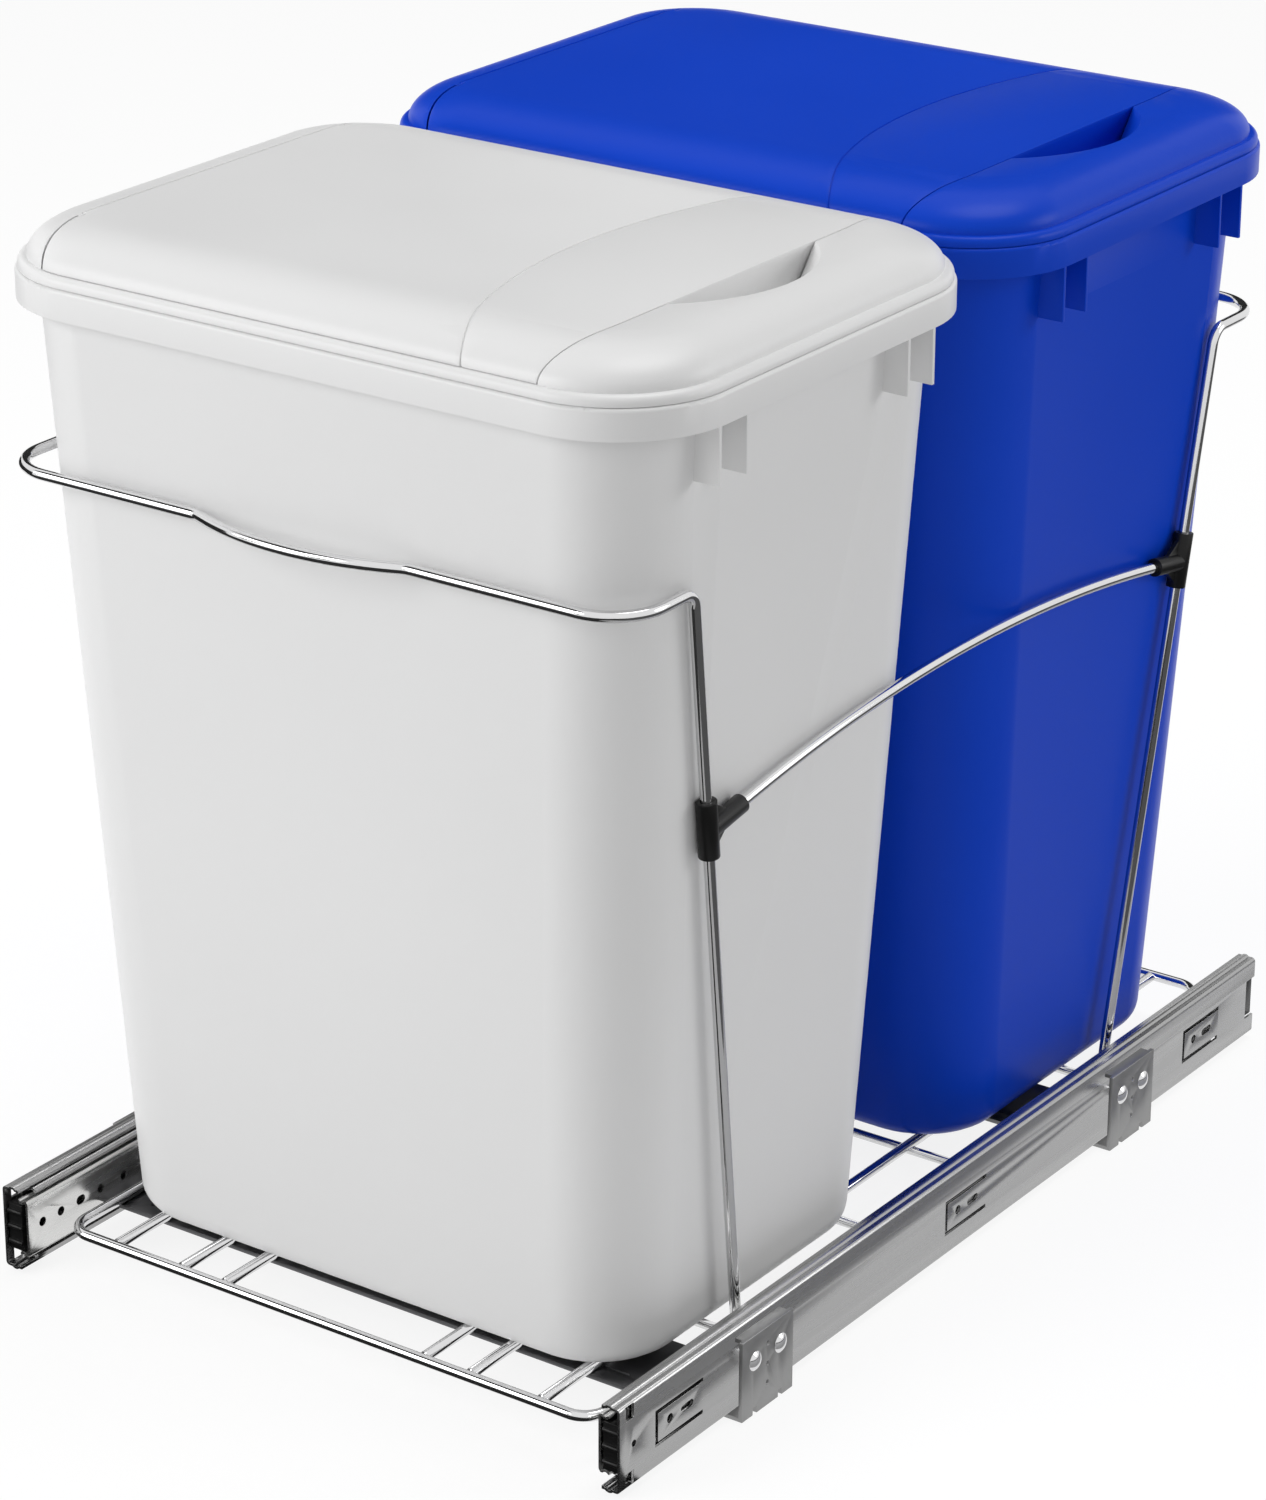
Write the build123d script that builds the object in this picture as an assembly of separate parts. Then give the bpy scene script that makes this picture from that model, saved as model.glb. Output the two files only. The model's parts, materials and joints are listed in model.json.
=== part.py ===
from build123d import *
import os
from math import asin, cos, pi, sin, sqrt

os.makedirs("parts", exist_ok=True)

# A pull-out frame with two lidded bins, in millimetres. X runs across the frame, Y from the
# pulled side (negative) to the back, and Z up from the floor under the four floor brackets.

# Bins
bin_wall = 2.2
bin_foot_half_x = 147.5
bin_foot_half_y = 104.5
bin_foot_corner = 42.0
bin_top_half_x = 168.4
bin_top_half_y = 127.6
bin_top_corner = 45.0
bin_foot_round = 12.0
bin_seat_gap = 0.3
bin_top_height = 478.2
bin_gap = 3.0
rim_reach_x = 13.1
rim_reach_y = 5.7
rim_corner_radius = 54.0
rim_skirt = 11.2
rim_lip_height = 2.5
rim_lip = 2.6
rim_round = 1.8
fin_sheet = 1.8
fin_height = 26.5
fin_inset = 2.0
fin_offsets = [60.8, 80.4]

# Lids
lid_sheet = 2.0
lid_seat_gap = 0.3
lid_inset = 1.2
lid_band_height = 4.5
lid_band_round = 3.2
lid_lip_height = 9.0
lid_lip_gap = 1.6
crown_inset = 5.2
crown_rise = 15.1
crown_edge_x = 24.0
crown_edge_y = 36.0
crown_top_corner = 26.0
crown_wall = 2.2
crown_sections = 6
throat_left_inset = 34.3
throat_right_inset = 64.3
throat_side_inset = 25.1
throat_corner = 22.0
hinge_inset = 26.1
hinge_radius = 1.2
hinge_gap = 0.3
hinge_end_inset = 40.1
hinge_pin_radius = 0.8
hinge_pin_length = 3.4
hinge_pin_clearance = 0.08
hinge_bend = 14.0
ear_gap = 0.3
seam_gap = 0.8
flap_seat_gap = 0.3
flap_lip_sheet = 1.8
flap_lip_gap = 1.0
free_edge_inset = 45.8
free_edge_bend = 9.5
free_edge_bend_start = 80.0
groove_offset = 79.0
groove_bend = 36.0
groove_width = 1.2
groove_depth = 0.5
scoop_centre_y = 5.5
scoop_half_y = 55.5
scoop_reach = 25.0
scoop_taper = 12.0
scoop_back = 8.0

# Slides
slide_length = 558.8
slide_height = 43.0
slide_depth = 13.0
channel_sheet = 1.3
channel_bend = 2.0
outer_flange_depth = 9.6
outer_lip_height = 1.7
middle_web_gap = 1.0
middle_flange_end = 12.2
middle_front_inset = 9.4
middle_rear_gap = 25.4
inner_flange_depth = 5.8
inner_front_inset = 2.4
inner_rear_inset = 0.4
ball_diameter = 3.2
race_clearance = 0.1
race_depth = 0.8
outer_ball_depth = 5.8
inner_ball_depth = 9.4
ball_pitch = 14.0
balls_per_row = 15
cage_sheet = 0.5
cage_gap = 0.25
cage_play = 0.1
cage_length = 220.0
cage_end_margin = 12.0
outer_cage_start = 149.4
inner_cage_start = 164.4

# Cut-outs in the slides' webs, heights measured from the slide's bottom edge
corner_window_start = 4.4
corner_window_length = 6.0
corner_window_height = 7.0
corner_window_inset = 1.6
dimple_radius = 1.6
dimple_start = 10.4
tab_front_start = 26.4
tab_middle_start = 18.0
tab_rear_start = 73.4
tab_length = 36.0
tab_height = 18.0
tab_low = 11.5
slit_width = 2.0
tab_hole_radius = 2.2
tab_hole_offset = 11.0
tab_hole_height = 21.0
tab_slot_offset = 24.0
tab_slot_length = 9.4
tab_slot_radius = 1.8
rear_notch_length = 8.4
rear_notch_low = 11.0
rear_notch_high = 32.0
door_hole_radius = 2.3
door_hole_starts = [9.7, 22.5, 50.6, 67.1]
door_slot_start = 36.4
door_slot_length = 6.0
door_hole_height = 22.0

# Bumpers and rear stops
bumper_inset = 0.4
bumper_height = 23.5
bumper_inner_depth = 9.9
bumper_outer_depth = 1.6
bumper_tongue_length = 12.0
bumper_tongue_depth = 2.0
bumper_rib_count = 3
bumper_rib_radius = 1.2
stop_length = 14.0
stop_height = 20.6
stop_inner_depth = 10.6

# Floor brackets
bracket_sheet = 2.0
bracket_proud = 6.0
bracket_width = 40.0
bracket_top = 37.7
bracket_front_inset = 104.2
bracket_rear_inset = 134.1
bracket_reach = 32.0
bracket_notch = 2.6
bracket_corner = 3.0
bracket_rivet_spacing = 20.0
bracket_rivet_height = 24.8
bracket_rivet_head = 4.8
bracket_rivet_dome = 2.0
bracket_rivet_shank = 2.4
bracket_small_hole = 1.3
bracket_small_hole_heights = [9.7, 19.1, 29.3]
bracket_edge_notch = 3.0
floor_hole_radius = 2.25
floor_hole_spacing = 24.0
floor_hole_inset = 6.0

# Base wires
wire_diameter = 5.2
base_wire_height = 20.8
rim_wire_margin = 2.5
rim_front_inset = 15.3
rim_rear_inset = 8.4
rim_wire_corner = 12.0
long_wire_shares = [0.3827, 0.5527, 0.8107]
cross_wire_diameter = 4.5
cross_wire_offset = 40.0
foot_wire_inset = 2.7
weld_gap = 0.1
base_side_gap = 5.1

# Cross plates under the wires
plate_sheet = 2.0
plate_width = 46.0
plate_front_offset = 47.0
plate_rear_offset = 48.0
plate_slot_length = 40.0
plate_slot_radius = 1.4
plate_slot_depth = 1.0
plate_slot_offset = 14.0
plate_slot_shares = [-0.787, -0.267, 0.267, 0.787]
plate_rib_radius = 3.0
plate_rib_height = 1.5
plate_ear_height = 15.0
plate_ear_width = 14.0
plate_rivet_radius = 2.4
plate_rivet_head = 4.0
plate_rivet_head_height = 1.2

# Hoops
hoop_foot_y = 160.7
hoop_foot_gap = 0.2
hoop_top_y = 217.0
hoop_top_height = 393.2
hoop_side_gap = 1.1
hoop_front_gap = 3.6
hoop_top_bend = 8.0
hoop_corner = 25.0
bow_half_width = 56.0
bow_depth = 11.8
bow_kink = 12.0

# Clips and braces
clip_height = 281.0
clip_sleeve_radius = 4.8
clip_sleeve_height = 27.0
clip_socket_radius = 4.4
clip_socket_reach = 25.0
clip_socket_depth = 18.0
clip_flat = 3.75
clip_gusset = 2.0
clip_fit = 0.05
brace_rise = 17.5

# Shared by all cuts that must run past a face
overrun = 5.0

# Heights worked out from the sizes above
slide_bottom = bracket_sheet
slide_middle = slide_bottom + slide_height / 2
wire_radius = wire_diameter / 2
wire_z = slide_bottom + base_wire_height
wires_top = wire_z + wire_radius
plate_top = wire_z - wire_radius
plate_rivet_z = plate_top + plate_ear_height - plate_rivet_head
bin_floor = wires_top + bin_seat_gap
shelf_z = slide_bottom + bin_top_height
rim_low_z = shelf_z - rim_skirt
rim_top_z = shelf_z + rim_lip_height
lid_low = rim_top_z + lid_seat_gap
lid_top = lid_low + lid_band_height
crown_top = lid_top + crown_rise
hinge_z = crown_top - hinge_radius
hoop_top_z = slide_bottom + hoop_top_height
clip_z = slide_bottom + clip_height

# Widths, from the bins outwards to the slides
rim_half_x = bin_top_half_x + rim_reach_x
rim_half_y = bin_top_half_y + rim_reach_y
half_pitch = rim_half_y + bin_gap / 2
rim_wire_half = bin_foot_half_x + rim_wire_margin
hoop_foot_x = rim_wire_half + wire_diameter + hoop_foot_gap
inner_face = hoop_foot_x + wire_radius + base_side_gap
slide_face = inner_face + slide_depth

# Places along the slides and the base
half_length = slide_length / 2
middle_front = -half_length + middle_front_inset
middle_rear = half_length - stop_length - middle_rear_gap
inner_front = -half_length + inner_front_inset
inner_rear = half_length - inner_rear_inset
bumper_front = -half_length + bumper_inset
outer_cage_front = -half_length + outer_cage_start
inner_cage_front = -half_length + inner_cage_start
tab_starts = [-half_length + tab_front_start, -tab_middle_start, half_length - tab_rear_start]
bracket_places = {"front": -half_length + bracket_front_inset, "rear": half_length - bracket_rear_inset}
rim_wire_front = -half_length + rim_front_inset
rim_wire_rear = half_length - rim_rear_inset
foot_wire_y = hoop_foot_y - foot_wire_inset
cross_wire_places = {
    "front": -foot_wire_y,
    "front_middle": -cross_wire_offset,
    "rear_middle": cross_wire_offset,
    "rear": foot_wire_y,
}
plate_places = {"front": -foot_wire_y - plate_front_offset, "rear": foot_wire_y - plate_rear_offset}

# Rows of balls and the flats of the channels around them
ball_radius = ball_diameter / 2
race_radius = ball_radius + race_clearance
bulge_radius = race_radius + channel_sheet
outer_ball_height = slide_height / 2 - bulge_radius
outer_flat = slide_height / 2 - race_depth
middle_flat = outer_ball_height - race_radius + race_depth
inner_ball_height = middle_flat - channel_sheet + race_depth - race_radius
inner_flat = inner_ball_height - race_radius + race_depth

# The hoop's upright and top, just clear of the tapered bin
taper_share = (hoop_top_z - bin_floor) / (shelf_z - bin_floor)
bin_half_x_there = bin_foot_half_x + (bin_top_half_x - bin_foot_half_x) * taper_share
bin_half_y_there = bin_foot_half_y + (bin_top_half_y - bin_foot_half_y) * taper_share
hoop_top_x = bin_half_x_there + wire_radius + hoop_side_gap
hoop_reach = half_pitch + bin_half_y_there + wire_radius + hoop_front_gap
foot_point = Vector(hoop_foot_x, -hoop_foot_y, wire_z)
bend_point = Vector(hoop_top_x, -hoop_top_y, hoop_top_z)
upright_way = (bend_point - foot_point).normalized()
clip_centre = foot_point + upright_way * ((clip_z - wire_z) / upright_way.Z)
brace_end_y = -clip_centre.Y - clip_socket_reach + clip_socket_depth
brace_radius = (brace_end_y ** 2 + brace_rise ** 2) / (2 * brace_rise)
brace_tilt = asin((brace_end_y - clip_socket_depth / 2) / brace_radius)

# Lines on the lid, measured inwards from the crown's foot
crown_half_x = rim_half_x - crown_inset
crown_half_y = rim_half_y - crown_inset
crown_corner = rim_corner_radius - crown_inset
hinge_x = -crown_half_x + hinge_inset
hinge_strip_x = hinge_x - hinge_radius - hinge_gap
hinge_half_y = crown_half_y - hinge_end_inset
hinge_notch_y = hinge_half_y + hinge_pin_length + ear_gap
free_edge_x = crown_half_x - free_edge_inset
groove_x = free_edge_x - groove_offset


def rect(u0, u1, v0, v1):
    """Rectangle between two corners of a sketch."""
    return Pos((u0 + u1) / 2, (v0 + v1) / 2) * Rectangle(u1 - u0, v1 - v0)


def block(x0, x1, y0, y1, z0, z1):
    """Box between two corners."""
    return Pos((x0 + x1) / 2, (y0 + y1) / 2, (z0 + z1) / 2) * Box(x1 - x0, y1 - y0, z1 - z0)


def rod(start, end, radius):
    """Round bar from one point to another."""
    way = Vector(*end) - Vector(*start)
    foot = Plane(origin=start, z_dir=way)
    return foot * Cylinder(radius, way.length, align=(Align.CENTER, Align.CENTER, Align.MIN))


def bar_y(x, z, y0, y1, radius):
    return rod((x, y0, z), (x, y1, z), radius)


def bar_x(y, z, x0, x1, radius):
    return rod((x0, y, z), (x1, y, z), radius)


def along_y(section, y0, y1):
    """Extrude a sketch of the XZ plane from y0 to y1."""
    return extrude(Plane.XZ.offset(-y1) * section, amount=y1 - y0)


def prism(section, z0, z1):
    """Extrude a sketch of the XY plane from z0 to z1."""
    return extrude(Pos(0, 0, z0) * section, amount=z1 - z0)


def other_side(solid):
    return mirror(solid, about=Plane.YZ)


def save(solid, name):
    export_step(solid, os.path.join("parts", name + ".step"))


# Slides, drawn on the left-hand side: a sketch's u is the depth from the web's outer face
# towards the bins, and v the height from the slide's middle
def place_section(section, y0, y1):
    return along_y(Pos(-slide_face, slide_middle) * section, y0, y1)


def c_section(web, mouth, half_height):
    """C of channel sheet, its web at one depth and its mouth at the other."""
    span = abs(mouth - web)
    outside = RectangleRounded(2 * span, 2 * half_height, channel_bend)
    hollow_span = span - channel_sheet
    hollow_height = half_height - channel_sheet
    inside = RectangleRounded(2 * hollow_span, 2 * hollow_height, channel_bend - channel_sheet)
    shape = Pos(mouth) * (outside - inside)
    return shape & rect(min(web, mouth), max(web, mouth), -half_height, half_height)


def race(depth, height, flat, outward):
    """Bulge of sheet round a row of balls, kept on the outward side of a flange's flat."""
    far = 2 * bulge_radius
    if outward:
        keep = rect(depth - far, depth + far, flat, flat + far)
    else:
        keep = rect(depth - far, depth + far, flat - far, flat)
    return (Pos(depth, height) * Circle(bulge_radius)) & keep


def both_flanges(section):
    return section + mirror(section, about=Plane.XZ)


def outer_section():
    shape = c_section(0, outer_flange_depth, outer_flat)
    lip_start = outer_flange_depth - channel_sheet
    lip = rect(lip_start, outer_flange_depth, outer_flat - outer_lip_height, outer_flat)
    bulge = race(outer_ball_depth, outer_ball_height, outer_flat - channel_sheet, True)
    groove = Pos(outer_ball_depth, outer_ball_height) * Circle(race_radius)
    return shape + both_flanges(lip + bulge) - both_flanges(groove)


def middle_section():
    web = channel_sheet + middle_web_gap
    shape = c_section(web, middle_flange_end, middle_flat)
    under = race(outer_ball_depth, outer_ball_height, middle_flat, False)
    over = race(inner_ball_depth, inner_ball_height, middle_flat - channel_sheet, True)
    upper_groove = Pos(outer_ball_depth, outer_ball_height) * Circle(race_radius)
    lower_groove = Pos(inner_ball_depth, inner_ball_height) * Circle(race_radius)
    return shape + both_flanges(under + over) - both_flanges(upper_groove + lower_groove)


def inner_section():
    mouth = slide_depth - inner_flange_depth
    shape = c_section(slide_depth, mouth, inner_flat)
    under = race(inner_ball_depth, inner_ball_height, inner_flat, False)
    under &= rect(mouth, slide_depth, 0, inner_flat)
    groove = Pos(inner_ball_depth, inner_ball_height) * Circle(race_radius)
    return shape + both_flanges(under) - both_flanges(groove)


def web_cut(y0, y1, low, high, depth=0.0):
    """Cutter through a web, its heights measured from the slide's bottom edge."""
    x = -slide_face + depth
    through = channel_sheet + channel_sheet
    return block(x - through, x + through, y0, y1, slide_bottom + low, slide_bottom + high)


def web_hole(y, height, radius, depth=0.0):
    x = -slide_face + depth
    through = channel_sheet + channel_sheet
    return bar_x(y, slide_bottom + height, x - through, x + through, radius)


def web_slot(y, height, length, radius, depth=0.0):
    straight = length / 2 - radius
    slot = web_cut(y - straight, y + straight, height - radius, height + radius, depth)
    for end in (-straight, straight):
        slot += web_hole(y + end, height, radius, depth)
    return slot


def outer_channel():
    shape = place_section(outer_section(), -half_length, half_length)
    start = -half_length + corner_window_start
    end = start + corner_window_length
    low_window = corner_window_inset + corner_window_height
    shape -= web_cut(start, end, corner_window_inset, low_window)
    shape -= web_cut(start, end, slide_height - low_window, slide_height - corner_window_inset)
    shape -= web_hole(-half_length + dimple_start, slide_height / 2, dimple_radius)
    notch_start = half_length - rear_notch_length
    shape -= web_cut(notch_start, half_length + overrun, rear_notch_low, rear_notch_high)
    for tab in tab_starts:
        top = tab_low + tab_height
        shape -= web_cut(tab, tab + slit_width, tab_low, top)
        shape -= web_cut(tab, tab + tab_length, tab_low, tab_low + slit_width)
        shape -= web_cut(tab, tab + tab_length, top - slit_width, top)
        shape -= web_hole(tab + tab_hole_offset, tab_hole_height, tab_hole_radius)
        shape -= web_slot(tab + tab_slot_offset, tab_hole_height, tab_slot_length, tab_slot_radius)
    return shape


def middle_channel():
    return place_section(middle_section(), middle_front, middle_rear)


def ear_middle(place):
    """Middle of a cross plate's ears, at the plate's edge nearest the middle of the frame."""
    return place - place / abs(place) * (plate_width - plate_ear_width) / 2


def inner_channel():
    shape = place_section(inner_section(), inner_front, inner_rear)
    web = slide_depth - channel_sheet / 2
    for start in door_hole_starts:
        shape -= web_hole(inner_front + start, door_hole_height, door_hole_radius, web)
    slot_place = inner_front + door_slot_start
    shape -= web_slot(slot_place, door_hole_height, door_slot_length, door_hole_radius, web)
    for place in plate_places.values():
        y = ear_middle(place)
        shape -= web_hole(y, plate_rivet_z - slide_bottom, plate_rivet_radius, web)
    return shape


def cage(web, flange_height, flange_end, front, ball_depth, ball_height):
    """Folded strip that spaces two rows of balls."""
    section = rect(web, web + cage_sheet, -flange_height, flange_height)
    section += both_flanges(rect(web, flange_end, flange_height - cage_sheet, flange_height))
    shape = place_section(section, front, front + cage_length)
    for y in ball_row(front):
        for side in (-1, 1):
            z = slide_middle + side * ball_height
            hole = Cylinder(ball_radius + cage_play, 2 * ball_radius)
            shape -= Pos(-slide_face + ball_depth, y, z) * hole
    return shape


def ball_row(front):
    first = front + cage_end_margin
    return [first + i * ball_pitch for i in range(balls_per_row)]


def balls(front, ball_depth, ball_height):
    """Two rows of separate steel balls."""
    group = []
    for y in ball_row(front):
        for side in (-1, 1):
            z = slide_middle + side * ball_height
            group.append(Pos(-slide_face + ball_depth, y, z) * Sphere(ball_radius))
    return Compound(children=group)


def front_bumper():
    """Ribbed end piece on the middle channel's front edge, with a tongue along its web."""
    low = slide_middle - bumper_height / 2
    high = slide_middle + bumper_height / 2
    x0 = -slide_face + bumper_outer_depth
    x1 = -slide_face + bumper_inner_depth
    shape = block(x0, x1, bumper_front + bumper_rib_radius, middle_front, low, high)
    pitch = bumper_height / bumper_rib_count
    for i in range(bumper_rib_count):
        z = low + pitch * (i + 1 / 2)
        shape += bar_x(bumper_front + bumper_rib_radius, z, x0, x1, bumper_rib_radius)
    x0 = -slide_face + middle_web_gap + 2 * channel_sheet
    x1 = x0 + bumper_tongue_depth
    shape += block(x0, x1, middle_front, middle_front + bumper_tongue_length, low, high)
    return shape


def rear_stop():
    """Block against the outer web, showing through its rear notch."""
    x0 = -slide_face + channel_sheet
    x1 = -slide_face + stop_inner_depth
    low = slide_middle - stop_height / 2
    return block(x0, x1, half_length - stop_length, half_length, low, low + stop_height)


def floor_bracket(place):
    """Pressed bracket: outer plate, top flange to the web, base under the slide."""
    outside = -(slide_face + bracket_proud)
    plate_inside = outside + bracket_sheet
    y0 = place - bracket_width / 2
    y1 = place + bracket_width / 2
    top = slide_bottom + bracket_top
    shape = block(outside, plate_inside, y0, y1, 0, top)
    flange_y0 = y0 + bracket_notch
    flange_y1 = y1 - bracket_notch
    shape += block(plate_inside, -slide_face, flange_y0, flange_y1, top - bracket_sheet, top)
    base = rect(plate_inside, outside + bracket_reach, y0, y1)
    inner_corners = base.vertices().group_by(Axis.X)[-1]
    shape += prism(fillet(inner_corners, bracket_corner), 0, bracket_sheet)
    past = outside - overrun
    for height in bracket_small_hole_heights:
        z = slide_bottom + height
        shape -= bar_x(place, z, past, plate_inside + bracket_sheet, bracket_small_hole)
    half_notch = bracket_edge_notch / 2
    notch_end = plate_inside + bracket_edge_notch
    for side in (-1, 1):
        y = place + side * bracket_rivet_spacing / 2
        z = slide_bottom + bracket_rivet_height
        shape -= bar_x(y, z, past, -slide_face, bracket_rivet_shank)
        notch = (past, notch_end, y - half_notch, y + half_notch)
        shape -= block(*notch, -overrun, bracket_sheet + half_notch)
        x = outside + bracket_reach - floor_hole_inset
        y = place + side * floor_hole_spacing / 2
        shape -= Pos(x, y, bracket_sheet / 2) * Cylinder(floor_hole_radius, 2 * bracket_sheet)
    return shape


def bracket_rivets():
    """Domed rivets from the brackets' plates into the outer webs, both sides."""
    outside = -(slide_face + bracket_proud)
    group = []
    sphere = (bracket_rivet_head ** 2 + bracket_rivet_dome ** 2) / (2 * bracket_rivet_dome)
    z = slide_bottom + bracket_rivet_height
    for place in bracket_places.values():
        for side in (-1, 1):
            y = place + side * bracket_rivet_spacing / 2
            dome = Pos(outside - bracket_rivet_dome + sphere, y, z) * Sphere(sphere)
            far = outside - 2 * bracket_rivet_dome
            dome &= block(far, outside, y - sphere, y + sphere, z - sphere, z + sphere)
            rivet = dome + bar_x(y, z, outside, -slide_face, bracket_rivet_shank)
            group.append(rivet)
            group.append(other_side(rivet))
    return Compound(children=group)


# Base of the pulled frame
def rim_wire():
    """Closed loop of wire round the base."""
    length = rim_wire_rear - rim_wire_front
    middle = (rim_wire_rear + rim_wire_front) / 2
    loop = RectangleRounded(2 * rim_wire_half, length, rim_wire_corner)
    path = (Pos(0, middle, wire_z) * loop).wire()
    start = Plane(origin=path @ 0, z_dir=path % 0)
    return sweep(start * Circle(wire_radius), path=path)


def long_wires():
    """Three wires along one half of the base, butted to the rim wire."""
    y0 = rim_wire_front + wire_radius + weld_gap
    y1 = rim_wire_rear - wire_radius - weld_gap
    places = [-share * rim_wire_half for share in long_wire_shares]
    return Compound(children=[bar_y(x, wire_z, y0, y1, wire_radius) for x in places])


def cross_wire(y):
    z = wire_z - wire_radius - cross_wire_diameter / 2 - weld_gap
    return bar_x(y, z, -rim_wire_half, rim_wire_half, cross_wire_diameter / 2)


def cross_plate(place):
    """Flat plate under the wires with a rib, pressed grooves and an ear at each end."""
    y0 = place - plate_width / 2
    y1 = place + plate_width / 2
    low = plate_top - plate_sheet
    shape = block(-inner_face, inner_face, y0, y1, low, plate_top)
    y = ear_middle(place)
    ear_y0 = y - plate_ear_width / 2
    ear_y1 = y + plate_ear_width / 2
    for side in (-1, 1):
        x = side * (inner_face - plate_sheet / 2)
        ear = (x - plate_sheet / 2, x + plate_sheet / 2, ear_y0, ear_y1)
        shape += block(*ear, low, plate_top + plate_ear_height)
        shape -= bar_x(y, plate_rivet_z, x - plate_sheet, x + plate_sheet, plate_rivet_radius)
    slot = SlotOverall(plate_slot_length, 2 * plate_slot_radius)
    for share in plate_slot_shares:
        at = Pos(share * rim_wire_half, place - plate_slot_offset)
        shape -= prism(at * slot, plate_top - plate_slot_depth, plate_top + overrun)
    rib_z = low + plate_rib_radius - plate_rib_height
    rib = bar_x(place, rib_z, -rim_wire_half, rim_wire_half, plate_rib_radius)
    rib &= block(-inner_face, inner_face, y0, y1, low - plate_rib_height, plate_top)
    return shape + rib


def carriage_rivets():
    """Rivets through the plates' ears and the inner channels' webs, both sides."""
    group = []
    for place in plate_places.values():
        y = ear_middle(place)
        head = -inner_face + plate_sheet
        shank = bar_x(y, plate_rivet_z, -inner_face - channel_sheet, head, plate_rivet_radius)
        cap = bar_x(y, plate_rivet_z, head, head + plate_rivet_head_height, plate_rivet_head)
        cap = chamfer(cap.edges().sort_by(Axis.X)[-1], plate_rivet_head_height / 2)
        rivet = shank + cap
        group.append(rivet)
        group.append(other_side(rivet))
    return Compound(children=group)


# Hoops, clips and braces, drawn for the front hoop on the right-hand side
def hoop_path():
    """Half of the hoop's centre line, from the foot to the middle of the bow."""
    bow_radius = (bow_half_width ** 2 + bow_depth ** 2) / (2 * bow_depth)
    bow_centre = -hoop_reach - bow_depth + bow_radius
    kink_x = sqrt((bow_radius + bow_kink) ** 2 - (bow_radius - bow_depth + bow_kink) ** 2)
    kink_y = -hoop_reach - bow_kink
    share = bow_radius / (bow_radius + bow_kink)
    join = Vector(kink_x * share, bow_centre + (kink_y - bow_centre) * share, hoop_top_z)
    kink_start = Vector(kink_x, -hoop_reach, hoop_top_z)
    half_turn = asin(kink_x / (bow_radius + bow_kink)) / 2
    kink_middle_x = kink_x - bow_kink * sin(half_turn)
    kink_middle = Vector(kink_middle_x, kink_y + bow_kink * cos(half_turn), hoop_top_z)
    bow_tip = Vector(0, -hoop_reach - bow_depth, hoop_top_z)
    bow_middle_y = bow_centre - bow_radius * cos(half_turn)
    bow_middle = Vector(bow_radius * sin(half_turn), bow_middle_y, hoop_top_z)
    corner = Vector(hoop_top_x, -hoop_reach, hoop_top_z)
    start = foot_point - upright_way * wire_radius
    bends = [hoop_top_bend, hoop_corner]
    frame = FilletPolyline(start, bend_point, corner, kink_start, radius=bends)
    kink = ThreePointArc(kink_start, kink_middle, join)
    bow = ThreePointArc(join, bow_middle, bow_tip)
    return Wire(frame.edges() + kink.edges() + bow.edges())


def hoop():
    path = hoop_path()
    start = Plane(origin=path @ 0, z_dir=path % 0)
    half = sweep(start * Circle(wire_radius), path=path)
    return half + other_side(half)


def clip():
    """Sleeve round the upright with a socket for the brace and a gusset between them."""
    along = upright_way * (clip_sleeve_height / 2)
    socket_way = Vector(0, cos(brace_tilt), sin(brace_tilt))
    brace_end = Vector(clip_centre.X, -brace_end_y, clip_z)
    socket_base = brace_end - socket_way * (clip_socket_reach - clip_socket_depth)
    socket_end = socket_base + socket_way * clip_socket_reach
    low = clip_centre - along
    high = clip_centre + along
    shape = rod(tuple(low), tuple(high), clip_sleeve_radius)
    shape += rod(tuple(socket_base), tuple(socket_end), clip_socket_radius)
    tip = socket_end - socket_way * (clip_socket_reach / 4)
    web = make_face(Polyline((low.Y, low.Z), (tip.Y, tip.Z), (high.Y, high.Z), close=True))
    shape += extrude(Plane.YZ.offset(clip_centre.X - clip_gusset / 2) * web, amount=clip_gusset)
    far = clip_sleeve_height
    outwards = Vector(upright_way.Z, 0, -upright_way.X)
    flat_point = clip_centre - Vector(clip_flat, 0, 0)
    flat = Plane(origin=flat_point, x_dir=(0, 1, 0), z_dir=outwards)
    shape -= flat * Box(4 * far, 4 * far, far, align=(Align.CENTER, Align.CENTER, Align.MAX))
    past = upright_way * (clip_sleeve_height / 2 + overrun)
    hole_radius = wire_radius + clip_fit
    shape -= rod(tuple(clip_centre - past), tuple(clip_centre + past), hole_radius)
    mouth = socket_end + socket_way * overrun
    bottom = socket_end - socket_way * clip_socket_depth
    return shape - rod(tuple(bottom), tuple(mouth), hole_radius)


def brace():
    """Arched wire between the sockets of the front and rear hoops."""
    start = Vector(clip_centre.X, -brace_end_y, clip_z)
    top = Vector(clip_centre.X, 0, clip_z + brace_rise)
    end = Vector(clip_centre.X, brace_end_y, clip_z)
    path = Wire(ThreePointArc(start, top, end).edges())
    section = Plane(origin=path @ 0, z_dir=path % 0) * Circle(wire_radius)
    return sweep(section, path=path)


# Bins and lids, drawn about the Z axis and then moved to their places
def rounded_plan(half_x, half_y, corner, inset):
    """Rounded rectangle, grown inwards by an inset."""
    return RectangleRounded(2 * (half_x - inset), 2 * (half_y - inset), corner - inset)


def rim_plan(inset):
    return rounded_plan(rim_half_x, rim_half_y, rim_corner_radius, inset)


def mouth_plan(inset):
    return rounded_plan(bin_top_half_x, bin_top_half_y, bin_top_corner, inset)


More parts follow.
